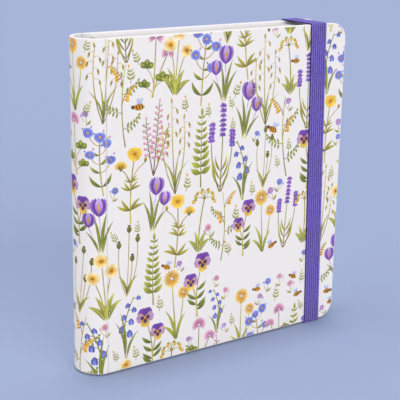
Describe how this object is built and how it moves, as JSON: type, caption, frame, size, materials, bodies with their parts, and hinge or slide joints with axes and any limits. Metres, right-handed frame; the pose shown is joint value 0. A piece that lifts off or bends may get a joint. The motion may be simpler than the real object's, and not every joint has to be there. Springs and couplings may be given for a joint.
{
  "type": "address book",
  "caption": "Case-bound address book with a rounded spine, rounded corners, a stepped letter index and an elastic band over its fore edge.",
  "frame": {"origin": "under the middle of the closed book, at the height of the band's lowest face", "axes": "+X from spine to fore edge, +Y from front cover to back cover, +Z from tail to head"},
  "size_m": [0.1704, 0.0278, 0.1818],
  "materials": {
    "cover_paper": "matt laminated print",
    "greyboard": "raw board",
    "endpaper": "uncoated",
    "page_paper": "uncoated",
    "lining": "open weave",
    "elastic": "ribbed weave"
  },
  "bodies": {
    "spine": {"spine_cover_paper": "cover_paper", "spine_card": "greyboard", "block_lining": "lining", "index_section_mn": "page_paper"},
    "front_cover": {"front_board": "greyboard", "front_cover_paper": "cover_paper", "front_pastedown": "endpaper"},
    "back_cover": {"back_board": "greyboard", "back_cover_paper": "cover_paper", "back_pastedown": "endpaper", "band_end_head": "elastic", "band_end_tail": "elastic"},
    "band": {"elastic_band": "elastic"},
    "front_flyleaf": {"front_flyleaf": "endpaper"},
    "back_flyleaf": {"back_flyleaf": "endpaper"},
    "section_ab": {"index_section_ab": "page_paper"},
    "section_cd": {"index_section_cd": "page_paper"},
    "section_ef": {"index_section_ef": "page_paper"},
    "section_gh": {"index_section_gh": "page_paper"},
    "section_ij": {"index_section_ij": "page_paper"},
    "section_kl": {"index_section_kl": "page_paper"},
    "section_op": {"index_section_op": "page_paper"},
    "section_qr": {"index_section_qr": "page_paper"},
    "section_st": {"index_section_st": "page_paper"},
    "section_uv": {"index_section_uv": "page_paper"},
    "section_wx": {"index_section_wx": "page_paper"},
    "section_yz": {"index_section_yz": "page_paper"}
  },
  "joints": [
    {"name": "front_cover_hinge", "type": "hinge", "parent": "spine", "child": "front_cover", "pos_m": [-0.07375, -0.013, 0.0909], "axis": [0, 0, -1], "range_deg": [0, 170]},
    {"name": "back_cover_hinge", "type": "hinge", "parent": "spine", "child": "back_cover", "pos_m": [-0.07375, 0.013, 0.0909], "axis": [0, 0, 1], "range_deg": [0, 170]},
    {"name": "front_flyleaf_turn", "type": "hinge", "parent": "spine", "child": "front_flyleaf", "pos_m": [-0.06975, -0.00972, 0.0909], "axis": [0, 0, -1], "range_deg": [0, 105]},
    {"name": "back_flyleaf_turn", "type": "hinge", "parent": "spine", "child": "back_flyleaf", "pos_m": [-0.06975, 0.00972, 0.0909], "axis": [0, 0, 1], "range_deg": [0, 105]},
    {"name": "band_release", "type": "hinge", "parent": "back_cover", "child": "band", "pos_m": [0.06875, 0.0135, 0], "axis": [-0.0264, 0, 0.9997], "range_deg": [0, 90], "deforming": ["elastic_band"]},
    {"name": "section_ab_turn", "type": "hinge", "parent": "spine", "child": "section_ab", "pos_m": [-0.06975, -0.00879, 0.0909], "axis": [0, 0, -1], "range_deg": [0, 66]},
    {"name": "section_cd_turn", "type": "hinge", "parent": "spine", "child": "section_cd", "pos_m": [-0.06975, -0.00733, 0.0909], "axis": [0, 0, -1], "range_deg": [0, 55]},
    {"name": "section_ef_turn", "type": "hinge", "parent": "spine", "child": "section_ef", "pos_m": [-0.06975, -0.00586, 0.0909], "axis": [0, 0, -1], "range_deg": [0, 44]},
    {"name": "section_gh_turn", "type": "hinge", "parent": "spine", "child": "section_gh", "pos_m": [-0.06975, -0.0044, 0.0909], "axis": [0, 0, -1], "range_deg": [0, 33]},
    {"name": "section_ij_turn", "type": "hinge", "parent": "spine", "child": "section_ij", "pos_m": [-0.06975, -0.00293, 0.0909], "axis": [0, 0, -1], "range_deg": [0, 22]},
    {"name": "section_kl_turn", "type": "hinge", "parent": "spine", "child": "section_kl", "pos_m": [-0.06975, -0.00147, 0.0909], "axis": [0, 0, -1], "range_deg": [0, 11]},
    {"name": "section_op_turn", "type": "hinge", "parent": "spine", "child": "section_op", "pos_m": [-0.06975, 0.00147, 0.0909], "axis": [0, 0, 1], "range_deg": [0, 11]},
    {"name": "section_qr_turn", "type": "hinge", "parent": "spine", "child": "section_qr", "pos_m": [-0.06975, 0.00293, 0.0909], "axis": [0, 0, 1], "range_deg": [0, 22]},
    {"name": "section_st_turn", "type": "hinge", "parent": "spine", "child": "section_st", "pos_m": [-0.06975, 0.0044, 0.0909], "axis": [0, 0, 1], "range_deg": [0, 33]},
    {"name": "section_uv_turn", "type": "hinge", "parent": "spine", "child": "section_uv", "pos_m": [-0.06975, 0.00586, 0.0909], "axis": [0, 0, 1], "range_deg": [0, 44]},
    {"name": "section_wx_turn", "type": "hinge", "parent": "spine", "child": "section_wx", "pos_m": [-0.06975, 0.00733, 0.0909], "axis": [0, 0, 1], "range_deg": [0, 55]},
    {"name": "section_yz_turn", "type": "hinge", "parent": "spine", "child": "section_yz", "pos_m": [-0.06975, 0.00879, 0.0909], "axis": [0, 0, 1], "range_deg": [0, 66]}
  ],
  "couplings": [
    {"joint": "front_flyleaf_turn", "follows": "front_cover_hinge", "ratio": 0.61765},
    {"joint": "back_flyleaf_turn", "follows": "back_cover_hinge", "ratio": 0.61765},
    {"joint": "band_release", "follows": "front_cover_hinge", "ratio": 0.52941},
    {"joint": "section_ab_turn", "follows": "front_cover_hinge", "ratio": 0.38823},
    {"joint": "section_cd_turn", "follows": "front_cover_hinge", "ratio": 0.32353},
    {"joint": "section_ef_turn", "follows": "front_cover_hinge", "ratio": 0.25882},
    {"joint": "section_gh_turn", "follows": "front_cover_hinge", "ratio": 0.19412},
    {"joint": "section_ij_turn", "follows": "front_cover_hinge", "ratio": 0.12941},
    {"joint": "section_kl_turn", "follows": "front_cover_hinge", "ratio": 0.064705},
    {"joint": "section_op_turn", "follows": "back_cover_hinge", "ratio": 0.064705},
    {"joint": "section_qr_turn", "follows": "back_cover_hinge", "ratio": 0.12941},
    {"joint": "section_st_turn", "follows": "back_cover_hinge", "ratio": 0.19412},
    {"joint": "section_uv_turn", "follows": "back_cover_hinge", "ratio": 0.25882},
    {"joint": "section_wx_turn", "follows": "back_cover_hinge", "ratio": 0.32353},
    {"joint": "section_yz_turn", "follows": "back_cover_hinge", "ratio": 0.38823}
  ]
}
